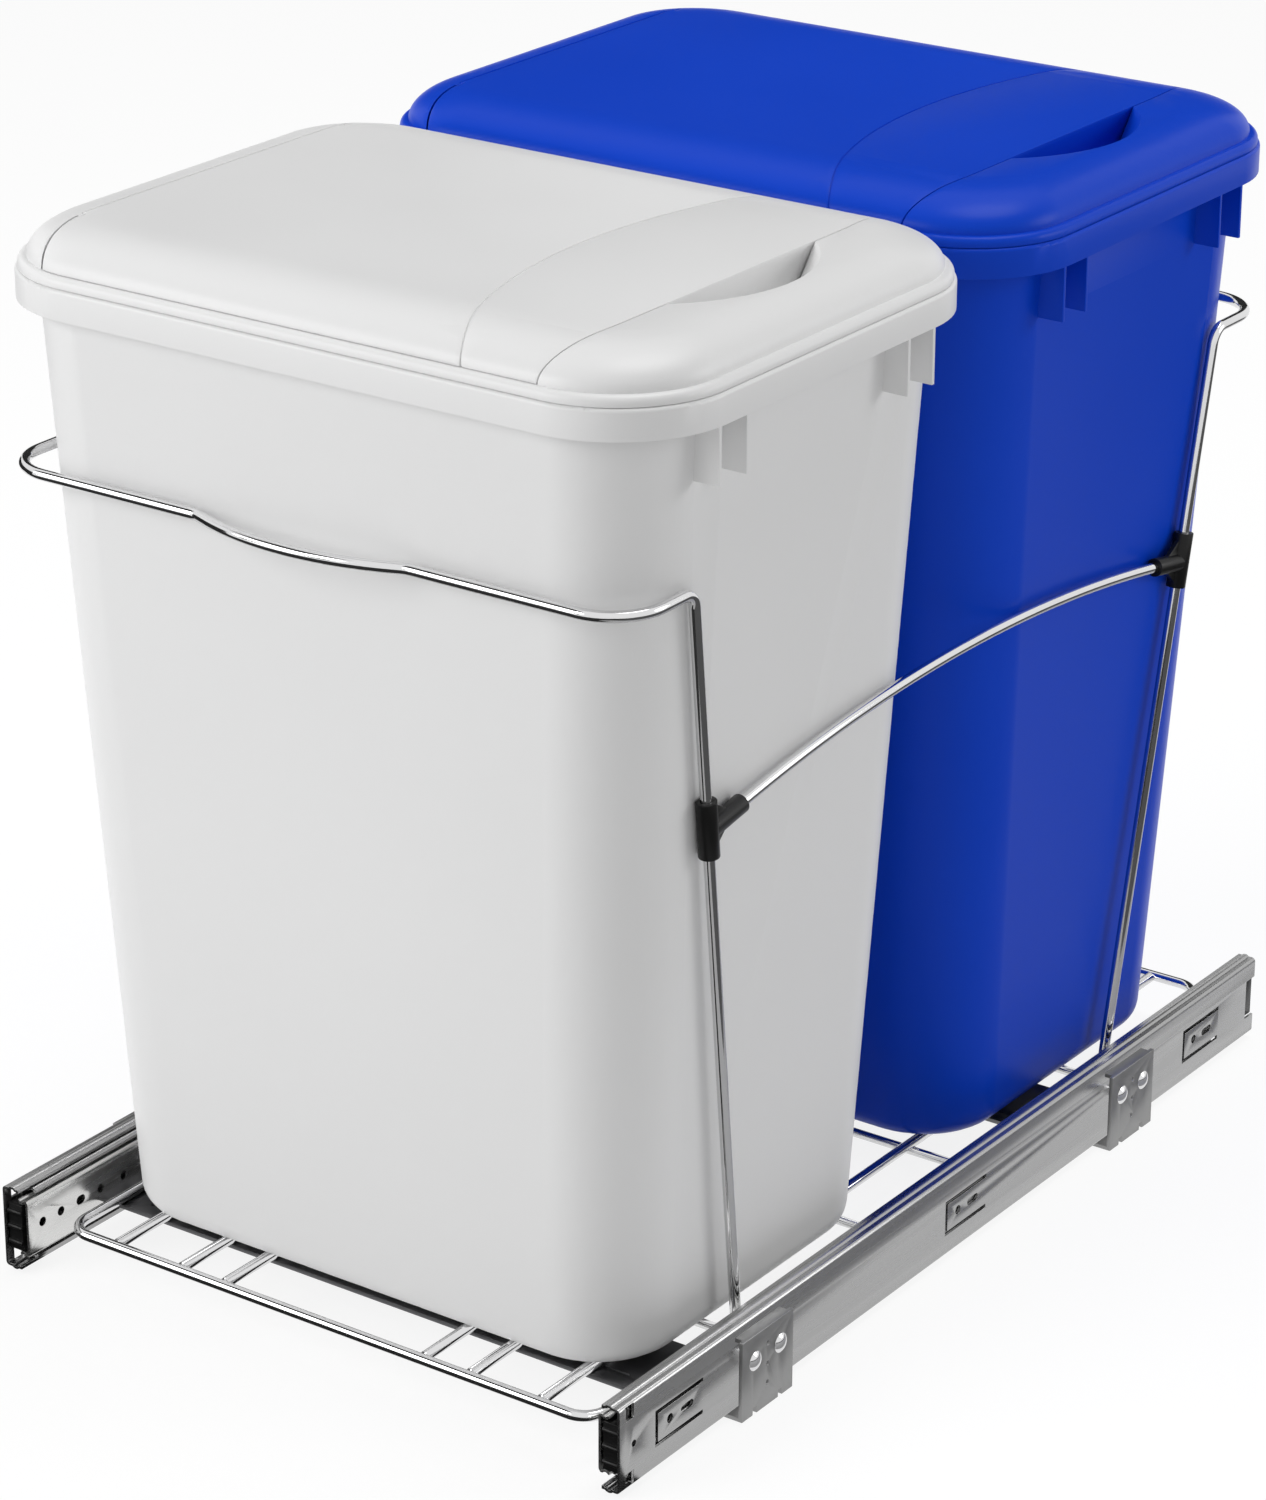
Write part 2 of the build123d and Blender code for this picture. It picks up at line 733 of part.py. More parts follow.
def bin_form(inset, low):
    """Tapered body with rounded corners and a rounded foot."""
    foot = rounded_plan(bin_foot_half_x, bin_foot_half_y, bin_foot_corner, inset)
    shape = loft([Pos(0, 0, low) * foot, Pos(0, 0, shelf_z) * mouth_plan(inset)], ruled=True)
    return fillet(shape.faces().sort_by(Axis.Z)[0].edges(), bin_foot_round - inset)


def bin_body():
    """Body with its skirted rim, the rim's raised lip and the small fins under it."""
    shape = bin_form(0, bin_floor)
    skirt = prism(rim_plan(0), rim_low_z, rim_top_z)
    skirt = fillet(skirt.faces().sort_by(Axis.Z)[-1].edges(), rim_round)
    skirt -= prism(rim_plan(rim_lip), rim_low_z, shelf_z - bin_wall)
    skirt -= prism(rim_plan(rim_lip), shelf_z, rim_top_z)
    fin_reach = rim_half_x - fin_inset
    for side in (-1, 1):
        x0 = min(0, side * fin_reach)
        x1 = max(0, side * fin_reach)
        for offset in fin_offsets:
            for y in (-offset, offset):
                fin = (x0, x1, y - fin_sheet / 2, y + fin_sheet / 2)
                shape += block(*fin, rim_low_z - fin_height, shelf_z - bin_wall)
    return shape + skirt - bin_form(bin_wall, bin_floor + bin_wall)


def crown_form(inset):
    """Low dome of the lid: its edge is a quarter of an ellipse, wider along the long sides."""
    layers = []
    for i in range(crown_sections + 1):
        angle = i / crown_sections * pi / 2
        share = 1 - cos(angle)
        half_x = crown_half_x - inset - (crown_edge_x - inset) * share
        half_y = crown_half_y - inset - (crown_edge_y - inset) * share
        corner = crown_corner - inset - (crown_corner - inset - crown_top_corner) * share
        z = lid_top + (crown_rise - inset) * sin(angle)
        layers.append(Pos(0, 0, z) * RectangleRounded(2 * half_x, 2 * half_y, corner))
    return loft(layers)


def bent_line(x_middle, x_end, straight_half, far):
    """Line across the lid, straight in the middle and curving to another X at its ends."""
    low = TangentArc((x_middle, -straight_half), (x_end, -far), tangent=(0, -1))
    high = TangentArc((x_middle, straight_half), (x_end, far), tangent=(0, 1))
    straight = Line((x_middle, -straight_half), (x_middle, straight_half))
    return low.edges() + straight.edges() + high.edges()


def flap_zone(left, left_end, shift):
    """Plan of the flap, from its hinge side to its free edge."""
    far = crown_half_y + overrun
    right = free_edge_x + shift
    right_end = right - free_edge_bend
    sides = bent_line(left, left_end, hinge_notch_y, far)
    sides += bent_line(right, right_end, free_edge_bend_start, far)
    for y in (-far, far):
        sides += Line((left_end, y), (right_end, y)).edges()
    return make_face(sides)


def groove_zone(shift):
    """Plan of the flap up to one side of its groove, an arc across the lid."""
    far = crown_half_y + 2 * overrun
    low = scoop_centre_y - far
    high = scoop_centre_y + far
    middle = groove_x + shift
    side = middle + groove_bend
    arc = ThreePointArc((side, low), (middle, scoop_centre_y), (side, high))
    rest = Polyline((side, high), (hinge_x, high), (hinge_x, low), (side, low))
    return make_face(arc.edges() + rest.edges())


def lid_flap(crown, hollow):
    """Hinged middle of the crown, with its hinge bead, two stub pins and a lip at the scoop."""
    left_end = hinge_strip_x + hinge_bend + seam_gap
    plan = flap_zone(hinge_x, left_end, 0)
    shape = (crown - hollow) & prism(plan, lid_top + flap_seat_gap, crown_top + overrun)
    notch_x = hinge_x + hinge_radius + ear_gap
    for side in (-1, 1):
        y0 = min(side * hinge_half_y, side * hinge_notch_y)
        y1 = max(side * hinge_half_y, side * hinge_notch_y)
        shape -= block(hinge_x - overrun, notch_x, y0, y1, lid_top, crown_top + overrun)
    shape += bar_y(hinge_x, hinge_z, -hinge_half_y, hinge_half_y, hinge_radius)
    pin_end = hinge_half_y + hinge_pin_length
    shape += bar_y(hinge_x, hinge_z, -pin_end, pin_end, hinge_pin_radius)
    lip_y0 = scoop_centre_y - scoop_half_y
    lip_y1 = scoop_centre_y + scoop_half_y
    lip_x0 = free_edge_x - flap_lip_sheet
    lip_top = crown_top - crown_wall / 2
    shape += block(lip_x0, free_edge_x, lip_y0, lip_y1, lid_top + flap_lip_gap, lip_top)
    groove = prism(groove_zone(groove_width / 2), lid_top, crown_top + overrun)
    groove -= prism(groove_zone(-groove_width / 2), lid_top, crown_top + overrun)
    return shape - (groove - crown_form(groove_depth))


def half_moon(half_chord, reach, z):
    """Half-moon plan beyond the flap's free edge, and a strip of the plan before it."""
    low = scoop_centre_y - half_chord
    high = scoop_centre_y + half_chord
    back = free_edge_x - scoop_back
    arc = ThreePointArc((free_edge_x, low), (free_edge_x + reach, scoop_centre_y), (free_edge_x, high))
    rest = Polyline((free_edge_x, high), (back, high), (back, low), (free_edge_x, low))
    return Pos(0, 0, z) * make_face(arc.edges() + rest.edges())


def scoop_form(growth):
    """Finger recess that widens from the lid's plate to past the crown's top."""
    height = crown_rise + overrun
    spread = scoop_taper * height / crown_rise - scoop_taper
    half_chord = scoop_half_y + growth
    reach = scoop_reach + growth
    foot = half_moon(half_chord - scoop_taper, reach - scoop_taper, lid_top)
    mouth = half_moon(half_chord + spread, reach + spread, lid_top + height)
    return loft([foot, mouth], ruled=True)


def lid_rim(crown, hollow):
    """Fixed part of the lid: band, plate, locating lip, the crown's two ends and the ears."""
    band = prism(rim_plan(lid_inset), lid_low, lid_top)
    band = fillet(band.faces().sort_by(Axis.Z)[-1].edges(), lid_band_round)
    shape = band - prism(rim_plan(lid_inset + lid_sheet), lid_low, lid_top - lid_sheet)
    inset = bin_wall + lid_lip_gap
    lip = mouth_plan(inset) - mouth_plan(inset + lid_sheet)
    shape += prism(lip, shelf_z - lid_lip_height, lid_top - lid_sheet)
    strip_end = hinge_strip_x + hinge_bend
    opening_plan = flap_zone(hinge_strip_x, strip_end, seam_gap)
    opening = prism(opening_plan, lid_top - overrun, crown_top + overrun)
    wall_plan = flap_zone(hinge_strip_x, strip_end, seam_gap + crown_wall)
    wall = prism(wall_plan, lid_top, crown_top + overrun)
    wall &= hollow & block(0, crown_half_x, -crown_half_y, crown_half_y, lid_top, crown_top)
    recess_wall = scoop_form(crown_wall) & hollow
    ends = (crown - hollow) + wall + recess_wall - scoop_form(0)
    shape += ends - opening
    throat_left = -crown_half_x + throat_left_inset
    throat_right = crown_half_x - throat_right_inset
    throat_width = throat_right - throat_left
    throat_depth = 2 * (crown_half_y - throat_side_inset)
    throat = RectangleRounded(throat_width, throat_depth, throat_corner)
    throat_x = (throat_left + throat_right) / 2
    shape -= prism(Pos(throat_x, 0) * throat, shelf_z, lid_top + lid_sheet)
    ear_start = hinge_half_y + ear_gap
    ear_end = hinge_half_y + hinge_pin_length - ear_gap
    ear_x = hinge_strip_x - hinge_radius
    for side in (-1, 1):
        y0 = min(side * ear_start, side * ear_end)
        y1 = max(side * ear_start, side * ear_end)
        ear = bar_y(hinge_x, hinge_z, y0, y1, hinge_radius)
        ear += block(ear_x, hinge_x, y0, y1, hinge_z - hinge_radius, hinge_z + hinge_radius)
        shape += ear & crown
        shape -= bar_y(hinge_x, hinge_z, y0, y1, hinge_pin_radius + hinge_pin_clearance)
    return shape


# Left and right slides, with the pieces that ride on them
save(outer_channel(), "outer_channel_left")
save(other_side(outer_channel()), "outer_channel_right")
save(middle_channel(), "middle_channel_left")
save(other_side(middle_channel()), "middle_channel_right")
save(inner_channel(), "inner_channel_left")
save(other_side(inner_channel()), "inner_channel_right")
save(front_bumper(), "front_bumper_left")
save(other_side(front_bumper()), "front_bumper_right")
save(rear_stop(), "rear_stop_left")
save(other_side(rear_stop()), "rear_stop_right")

outer_web = channel_sheet + cage_gap
outer_cage_height = outer_ball_height + cage_sheet / 2
outer_cage_end = outer_flange_depth - channel_sheet - cage_gap
inner_web = middle_web_gap + 2 * channel_sheet + 2 * cage_gap
inner_cage_height = inner_ball_height - cage_gap
inner_cage_end = slide_depth - channel_sheet - cage_gap
outer_row = (outer_cage_front, outer_ball_depth, outer_ball_height)
inner_row = (inner_cage_front, inner_ball_depth, inner_ball_height)
slide_insides = {
    "outer_cage": cage(outer_web, outer_cage_height, outer_cage_end, *outer_row),
    "inner_cage": cage(inner_web, inner_cage_height, inner_cage_end, *inner_row),
    "outer_balls": balls(*outer_row),
    "inner_balls": balls(*inner_row),
}
for name, shape in slide_insides.items():
    save(shape, name + "_left")
    save(other_side(shape), name + "_right")

# Floor brackets
for end, place in bracket_places.items():
    bracket = floor_bracket(place)
    save(bracket, "floor_bracket_" + end + "_left")
    save(other_side(bracket), "floor_bracket_" + end + "_right")
save(bracket_rivets(), "bracket_rivets")

# Base frame
save(rim_wire(), "base_rim_wire")
save(long_wires(), "long_wires_left")
save(other_side(long_wires()), "long_wires_right")
for name, place in cross_wire_places.items():
    save(cross_wire(place), "cross_wire_" + name)
for end, place in plate_places.items():
    save(cross_plate(place), "cross_plate_" + end)
save(carriage_rivets(), "plate_rivets")

# Hoops, clips and braces
front_hoop = hoop()
save(front_hoop, "hoop_front")
save(mirror(front_hoop, about=Plane.XZ), "hoop_rear")
right_clip = clip()
save(right_clip, "clip_front_right")
save(other_side(right_clip), "clip_front_left")
save(mirror(right_clip, about=Plane.XZ), "clip_rear_right")
save(mirror(other_side(right_clip), about=Plane.XZ), "clip_rear_left")
save(brace(), "brace_right")
save(other_side(brace()), "brace_left")

# Bins and lids
body = bin_body()
crown = crown_form(0)
hollow = crown_form(crown_wall)
rim = lid_rim(crown, hollow)
flap = lid_flap(crown, hollow)
for end, y in (("front", -half_pitch), ("rear", half_pitch)):
    save(Pos(0, y, 0) * body, end + "_bin")
    save(Pos(0, y, 0) * rim, end + "_lid_rim")
    save(Pos(0, y, 0) * flap, end + "_lid_flap")
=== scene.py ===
# %% [markdown]
# # A pull-out bin frame, dressed for a studio picture
# This lesson takes the engineering model of a kitchen pull-out, with its slides, wire base,
# hoops, two bins and their lids, and gives it the finishes and the soft edges that the real
# one has. The model arrives in metres and stays where it is: everything made here is fitted
# to it. The cells are read from top to bottom, and each says what it makes and why that way.

# %% Load the frame
import json
import math

import bpy
from mathutils import Matrix, Vector

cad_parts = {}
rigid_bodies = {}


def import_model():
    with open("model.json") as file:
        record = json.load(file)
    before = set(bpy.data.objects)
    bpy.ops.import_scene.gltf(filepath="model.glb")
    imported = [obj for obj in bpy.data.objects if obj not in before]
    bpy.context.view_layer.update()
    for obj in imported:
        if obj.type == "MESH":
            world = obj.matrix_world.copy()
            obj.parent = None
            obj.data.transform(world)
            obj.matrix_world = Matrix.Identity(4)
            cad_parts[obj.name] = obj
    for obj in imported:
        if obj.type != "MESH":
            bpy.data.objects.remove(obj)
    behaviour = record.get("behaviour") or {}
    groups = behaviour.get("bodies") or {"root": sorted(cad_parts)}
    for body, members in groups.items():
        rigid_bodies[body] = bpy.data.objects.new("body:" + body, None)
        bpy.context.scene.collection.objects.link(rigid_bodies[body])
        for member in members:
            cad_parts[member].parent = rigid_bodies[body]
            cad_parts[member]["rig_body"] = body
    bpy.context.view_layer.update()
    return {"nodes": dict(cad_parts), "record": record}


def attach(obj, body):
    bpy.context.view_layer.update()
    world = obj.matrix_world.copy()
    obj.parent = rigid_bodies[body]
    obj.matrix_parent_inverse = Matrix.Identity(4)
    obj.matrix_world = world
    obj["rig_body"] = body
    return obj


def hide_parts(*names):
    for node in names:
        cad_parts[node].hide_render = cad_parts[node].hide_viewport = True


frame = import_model()
bpy.ops.object.select_all(action="DESELECT")
scene = bpy.context.scene
scene.view_settings.view_transform = "Standard"
mm = 0.001

# %% [markdown]
# ## The camera
# The product picture was taken with a long lens from the front right and a little above. A
# camera can be placed by eye, but slides and wires are long straight lines that show the
# smallest error. So its place was worked out from the straight edges of the slides, wires
# and bins, and is written here as a real position with a real lens. The long lens keeps the
# bins' sides nearly parallel. The two small shifts slide the film and leave the camera where
# it is, to frame the object.

# %% Camera
camera_place = Vector((1.2190, -1.7399, 1.0956))
camera_target = Vector((-0.02415, -0.00966, 0.21443))
camera_lens = 116.4
film_width = 36.0
frame_shift_x = 0.0170
frame_shift_y = -0.0076
farthest_view = 50.0


def make_camera():
    data = bpy.data.cameras.new("camera")
    data.sensor_width = film_width
    data.lens = camera_lens
    data.shift_x = frame_shift_x
    data.shift_y = frame_shift_y
    data.clip_end = farthest_view
    camera = bpy.data.objects.new("camera", data)
    scene.collection.objects.link(camera)
    camera.location = camera_place
    camera.rotation_mode = "QUATERNION"
    camera.rotation_quaternion = (camera_target - camera_place).to_track_quat("-Z", "Y")
    scene.camera = camera


make_camera()
print("camera distance:", round((camera_target - camera_place).length, 3), "m")

# %% [markdown]
# ## The white world
# The picture has a pure white background. Turning the lamps up until everything is white
# would burn out the pale bin as well, so the white is given to the rays that look for it:
# the camera's own, and those that come off polished metal or through something clear. All
# other rays meet a dimmer world, which fills the shadows and no more.

# %% World
world_light = 0.36
plain_white = (1, 1, 1, 1)


def rays_that_see_white(nodes, links):
    """A value of 1 on camera, mirror and see-through rays, and 0 on the others."""
    path = nodes.new("ShaderNodeLightPath")
    first_two = nodes.new("ShaderNodeMath")
    first_two.operation = "MAXIMUM"
    links.new(path.outputs["Is Camera Ray"], first_two.inputs[0])
    links.new(path.outputs["Is Glossy Ray"], first_two.inputs[1])
    all_three = nodes.new("ShaderNodeMath")
    all_three.operation = "MAXIMUM"
    links.new(first_two.outputs[0], all_three.inputs[0])
    links.new(path.outputs["Is Transmission Ray"], all_three.inputs[1])
    return all_three.outputs[0]


def make_world():
    world = bpy.data.worlds.new("studio")
    world.use_nodes = True
    scene.world = world
    nodes = world.node_tree.nodes
    links = world.node_tree.links
    nodes.clear()
    light = nodes.new("ShaderNodeBackground")
    light.inputs["Color"].default_value = plain_white
    light.inputs["Strength"].default_value = world_light
    white = nodes.new("ShaderNodeBackground")
    white.inputs["Color"].default_value = plain_white
    white.inputs["Strength"].default_value = 1.0
    mix = nodes.new("ShaderNodeMixShader")
    out = nodes.new("ShaderNodeOutputWorld")
    links.new(rays_that_see_white(nodes, links), mix.inputs[0])
    links.new(light.outputs[0], mix.inputs[1])
    links.new(white.outputs[0], mix.inputs[2])
    links.new(mix.outputs[0], out.inputs["Surface"])


make_world()
print("world strength:", world_light)

# %% [markdown]
# ## The floor
# A white floor under plain light comes out grey. So this one is two floors in one material.
# To the camera and to mirrors it is mostly a white that shines by itself, with a share of an
# ordinary pale floor mixed in, and that share lets the object's soft shadow show. All other
# rays meet the ordinary pale floor alone.

# %% Floor
floor_size = 12.0
floor_drop = 0.0004
floor_white = 1.07
floor_pale = (0.86, 0.86, 0.86, 1)
shadow_share = 0.20


def floor_material():
    material = bpy.data.materials.new("floor_white")
    material.use_nodes = True
    nodes = material.node_tree.nodes
    links = material.node_tree.links
    nodes.clear()
    pale = nodes.new("ShaderNodeBsdfDiffuse")
    pale.inputs["Color"].default_value = floor_pale
    white = nodes.new("ShaderNodeEmission")
    white.inputs["Color"].default_value = plain_white
    white.inputs["Strength"].default_value = floor_white
    share = nodes.new("ShaderNodeMath")
    share.operation = "MULTIPLY"
    share.inputs[1].default_value = 1 - shadow_share
    mix = nodes.new("ShaderNodeMixShader")
    out = nodes.new("ShaderNodeOutputMaterial")
    links.new(rays_that_see_white(nodes, links), share.inputs[0])
    links.new(share.outputs[0], mix.inputs[0])
    links.new(pale.outputs[0], mix.inputs[1])
    links.new(white.outputs[0], mix.inputs[2])
    links.new(mix.outputs[0], out.inputs["Surface"])
    return material


bpy.ops.mesh.primitive_plane_add(size=floor_size, location=(0, 0, -floor_drop))
floor = bpy.context.active_object
floor.name = "studio_floor"
floor.data.materials.append(floor_material())
print("floor:", floor_size, "m square")

# %% [markdown]
# ## Three soft lamps
# The world could light the object alone, but then no side of a bin would differ from the
# next. Small lamps make hard shadows and pinprick highlights, so all three are wide discs.
# The large one in front on the left lights the fronts and the lids. One from the right and
# behind keeps the long sides readable and leaves the near corner a little darker, as in the
# picture. The last hangs above and lifts the lids.

# %% Lamps
key_place = (-1.8, -2.6, 1.5)
key_size = 2.6
key_watts = 64
side_place = (2.4, 1.5, 1.3)
side_size = 1.4
side_watts = 20
top_place = (0.2, 0.6, 3.0)
top_size = 1.6
top_watts = 27
lamp_target = Vector((0, 0, 0.25))


def make_lamp(name, place, size, watts):
    data = bpy.data.lights.new(name, "AREA")
    data.shape = "DISK"
    data.size = size
    data.energy = watts
    lamp = bpy.data.objects.new(name, data)
    scene.collection.objects.link(lamp)
    lamp.location = place
    lamp.rotation_mode = "QUATERNION"
    lamp.rotation_quaternion = (lamp_target - Vector(place)).to_track_quat("-Z", "Y")


make_lamp("key_lamp", key_place, key_size, key_watts)
make_lamp("side_lamp", side_place, side_size, side_watts)
make_lamp("top_lamp", top_place, top_size, top_watts)

# %% [markdown]
# ## Cards for the chrome to reflect
# Chrome has no colour of its own: in an all-white studio it turns into a white ghost of
# itself. A photographer puts dark and grey cards just outside the picture, so that every
# wire gets a dark line next to its bright one. The same cards stand here, but reflections
# alone see them, so they take no light away and never come into view.

# %% A card
def card_material(name, level):
    """A dull card: without its own gloss it stays the same grey from every side."""
    material = bpy.data.materials.new(name)
    material.use_nodes = True
    shader = material.node_tree.nodes["Principled BSDF"]
    shader.inputs["Base Color"].default_value = (level, level, level, 1)
    shader.inputs["Specular IOR Level"].default_value = 0.0
    return material


def reflected_card(name, place, size, aim, level):
    """A card at a place, turned to face a point, seen in reflections only."""
    bpy.ops.mesh.primitive_plane_add(size=1, location=(0, 0, 0))
    card = bpy.context.active_object
    card.name = name
    card.scale = (*size, 1)
    card.location = place
    card.rotation_mode = "QUATERNION"
    card.rotation_quaternion = (Vector(aim) - Vector(place)).to_track_quat("Z", "Y")
    card.data.materials.append(card_material(name, level))
    card.visible_camera = False
    card.visible_diffuse = False
    card.visible_shadow = False
    print(name, "at", place)


# %% [markdown]
# ## Where the cards stand
# A round wire mirrors nearly the whole room, squeezed into thin lines, so a few dark cards
# are enough: one on the floor in front of the object, and four that hang low in front, at
# the left, behind and high up. The flat side of the right slide shows the floor beside it.
# A pale board and a middle grey card lie there, so that its zinc isn't as white as the floor.

# %% Put the cards out
dark_grey = 0.035
middle_grey = 0.11
pale_grey = 0.50
low_on_object = (0, 0, 0.20)
cards_on_floor = {
    "front_card": ((0.15, -1.061, 0.0002), (2.7, 1.598), dark_grey),
    "right_board": ((0.30, 0.3, 0.004), (0.20, 1.8), pale_grey),
    "far_right_card": ((1.05, 0.4, 0.004), (1.3, 2.2), middle_grey),
}
hanging_cards = {
    "left_card": ((-1.1, -0.2, 0.30), (1.2, 0.6), (0, 0, 0.30)),
    "back_card": ((-1.1, 1.6, 1.2), (2.2, 1.4), (0, 0, 0.40)),
    "low_front_card": ((-1.4, -2.16, 0.80), (1.7, 0.50), low_on_object),
    "high_card": ((-1.3, -1.0, 2.1), (1.5, 0.8), low_on_object),
}
for name, (place, size, level) in cards_on_floor.items():
    straight_up = (place[0], place[1], 1.0)
    reflected_card(name, place, size, straight_up, level)
for name, (place, size, aim) in hanging_cards.items():
    reflected_card(name, place, size, aim, dark_grey)
bpy.ops.object.select_all(action="DESELECT")

# %% [markdown]
# ## Small tools for the finishes
# A finish could be painted on an image, but an image has one size and needs unwrapped
# pieces. Here every finish is worked out from noise patterns that are read at a point's own
# place on the piece, in metres. So grain has its true size on a rivet and on a bin alike,
# and it travels with a piece when the piece moves.

# %% Helpers for the finishes
calm_detail = 2.0
pattern_low = 0.25
pattern_high = 0.75


def grey(level):
    """A neutral colour."""
    return (level, level, level)


def new_material(name):
    material = bpy.data.materials.new(name)
    material.use_nodes = True
    nodes = material.node_tree.nodes
    links = material.node_tree.links
    shader = nodes["Principled BSDF"]
    place = nodes.new("ShaderNodeTexCoord")
    return material, nodes, links, shader, place.outputs["Object"]


def noise(nodes, links, place, scale, detail=calm_detail, stretch=None):
    """A noise pattern of a scale, drawn out along one axis where a stretch is given."""
    source = place
    if stretch:
        mapping = nodes.new("ShaderNodeMapping")
        mapping.inputs["Scale"].default_value = stretch
        links.new(place, mapping.inputs["Vector"])
        source = mapping.outputs[0]
    texture = nodes.new("ShaderNodeTexNoise")
    texture.inputs["Scale"].default_value = scale
    texture.inputs["Detail"].default_value = detail
    links.new(source, texture.inputs["Vector"])
    return texture.outputs["Fac"]


def spread(nodes, links, pattern, low, high):
    """Spreads the busy middle of a pattern over a range of roughness."""
    ramp = nodes.new("ShaderNodeMapRange")
    ramp.inputs["From Min"].default_value = pattern_low
    ramp.inputs["From Max"].default_value = pattern_high
    ramp.inputs["To Min"].default_value = low
    ramp.inputs["To Max"].default_value = high
    links.new(pattern, ramp.inputs["Value"])
    return ramp.outputs[0]


def two_shades(nodes, links, pattern, first, second):
    """Drifts between two shades of one colour."""
    mix = nodes.new("ShaderNodeMix")
    mix.data_type = "RGBA"
    mix.inputs["A"].default_value = (*first, 1)
    mix.inputs["B"].default_value = (*second, 1)
    links.new(pattern, mix.inputs["Factor"])
    return mix.outputs["Result"]


def bump(nodes, links, shader, pattern, depth, strength):
    """Lets a pattern ruffle the surface to a depth in metres."""
    node = nodes.new("ShaderNodeBump")
    node.inputs["Strength"].default_value = strength
    node.inputs["Distance"].default_value = depth
    links.new(pattern, node.inputs["Height"])
    links.new(node.outputs[0], shader.inputs["Normal"])


print("patterns are read between", pattern_low, "and", pattern_high)

# %% [markdown]
# ## Moulded plastic
# The bins and lids are injection-moulded polypropylene. The mould's skin leaves a fine
# pebbled grain that breaks the highlight, and the gloss changes a little from place to place
# where the plastic cooled faster. The colour itself is even, so its two shades are nearly
# the same. The blue is given less shine than the white, or its highlights turn milky.

# %% Plastic for the bins and lids
gloss_patch_scale = 7.0
mould_grain_scale = 1400.0
mould_grain_depth = 0.06 * mm
mould_grain_strength = 0.35
plain_detail = 1.0
plastic_ior = 1.49
white_shades = (grey(0.80), grey(0.82))
white_roughness = (0.34, 0.42)
white_shine = 0.36
blue_shades = ((0.002, 0.050, 0.55), (0.003, 0.056, 0.59))
blue_roughness = (0.30, 0.38)
blue_shine = 0.11


def moulded_plastic(name, shades, roughness, shine):
    material, nodes, links, shader, place = new_material(name)
    patches = noise(nodes, links, place, gloss_patch_scale)
    links.new(two_shades(nodes, links, patches, *shades), shader.inputs["Base Color"])
    links.new(spread(nodes, links, patches, *roughness), shader.inputs["Roughness"])
    grain = noise(nodes, links, place, mould_grain_scale, plain_detail)
    bump(nodes, links, shader, grain, mould_grain_depth, mould_grain_strength)
    shader.inputs["IOR"].default_value = plastic_ior
    shader.inputs["Specular IOR Level"].default_value = shine
    return material


white_plastic = moulded_plastic("white_plastic", white_shades, white_roughness, white_shine)
blue_plastic = moulded_plastic("blue_plastic", blue_shades, blue_roughness, blue_shine)
print("plastics:", white_plastic.name, blue_plastic.name)

# %% [markdown]
# ## Black mouldings
# Clips, bumpers and stops are small mouldings of a hard plastic, nearly black, with a grain
# a little finer than the bins'. They could be plain black, but would then lose their form,
# so they keep some shine to draw their edges.

# %% Plastic for clips, bumpers and stops
black_patch_scale = 40.0
black_shades = (grey(0.005), grey(0.009))
black_roughness = (0.28, 0.38)
black_shine = 0.24
black_grain_scale = 1800.0
black_grain_depth = 0.05 * mm
black_grain_strength = 0.4


def black_moulding(name):
    material, nodes, links, shader, place = new_material(name)
    patches = noise(nodes, links, place, black_patch_scale)
    links.new(two_shades(nodes, links, patches, *black_shades), shader.inputs["Base Color"])
    links.new(spread(nodes, links, patches, *black_roughness), shader.inputs["Roughness"])
    shader.inputs["Specular IOR Level"].default_value = black_shine
    grain = noise(nodes, links, place, black_grain_scale, plain_detail)
    bump(nodes, links, shader, grain, black_grain_depth, black_grain_strength)
    return material


black_plastic = black_moulding("black_plastic")
print("plastic:", black_plastic.name)

# %% [markdown]
# ## Chrome
# The wires are plated bright, and the balls and rivets are polished. Such a surface takes
# nearly all its look from what it reflects, so the finish is short: a bright metal, and a
# faint cloud in its tone and gloss, because no plating bath leaves it quite even.

# %% Chrome for wires, balls and rivets
chrome_cloud_scale = 30.0
chrome_shades = ((0.68, 0.68, 0.69), (0.76, 0.76, 0.76))
chrome_roughness = (0.06, 0.11)


def chrome(name):
    material, nodes, links, shader, place = new_material(name)
    shader.inputs["Metallic"].default_value = 1.0
    cloud = noise(nodes, links, place, chrome_cloud_scale)
    links.new(two_shades(nodes, links, cloud, *chrome_shades), shader.inputs["Base Color"])
    links.new(spread(nodes, links, cloud, *chrome_roughness), shader.inputs["Roughness"])
    return material


chrome_wire = chrome("chrome_wire")
ball_steel = chrome("ball_steel")
rivet_steel = chrome("rivet_steel")
print("chromes:", chrome_wire.name, ball_steel.name, rivet_steel.name)

# %% [markdown]
# ## Rolled and pressed steel
# The slides are rolled from zinc-plated strip, and the rolls leave a satin grain that runs
# along the slide. A noise pattern drawn out along the slide gives that grain, in the tone,
# the gloss and, very shallow, the surface. The floor brackets and the plates under the wires
# are pressed from duller sheet, with a mottled skin and no direction in it. The plates get a
# much darker copy of that steel, and the extra darkness is painted shade from the bins above
# them. The inner channels get a lighter copy of the slide's zinc, and the extra brightness
# is painted light.

# %% Steels
rolling_scale = 260.0
along_the_slide = (1.0, 0.03, 1.0)
rolled_roughness = (0.22, 0.32)
rolling_depth = 0.008 * mm
rolling_strength = 0.3
mottle_scale = 160.0
mottle_detail = 4.0
pressed_roughness = (0.38, 0.52)
pit_scale = 900.0
pit_depth = 0.03 * mm
pit_strength = 0.4


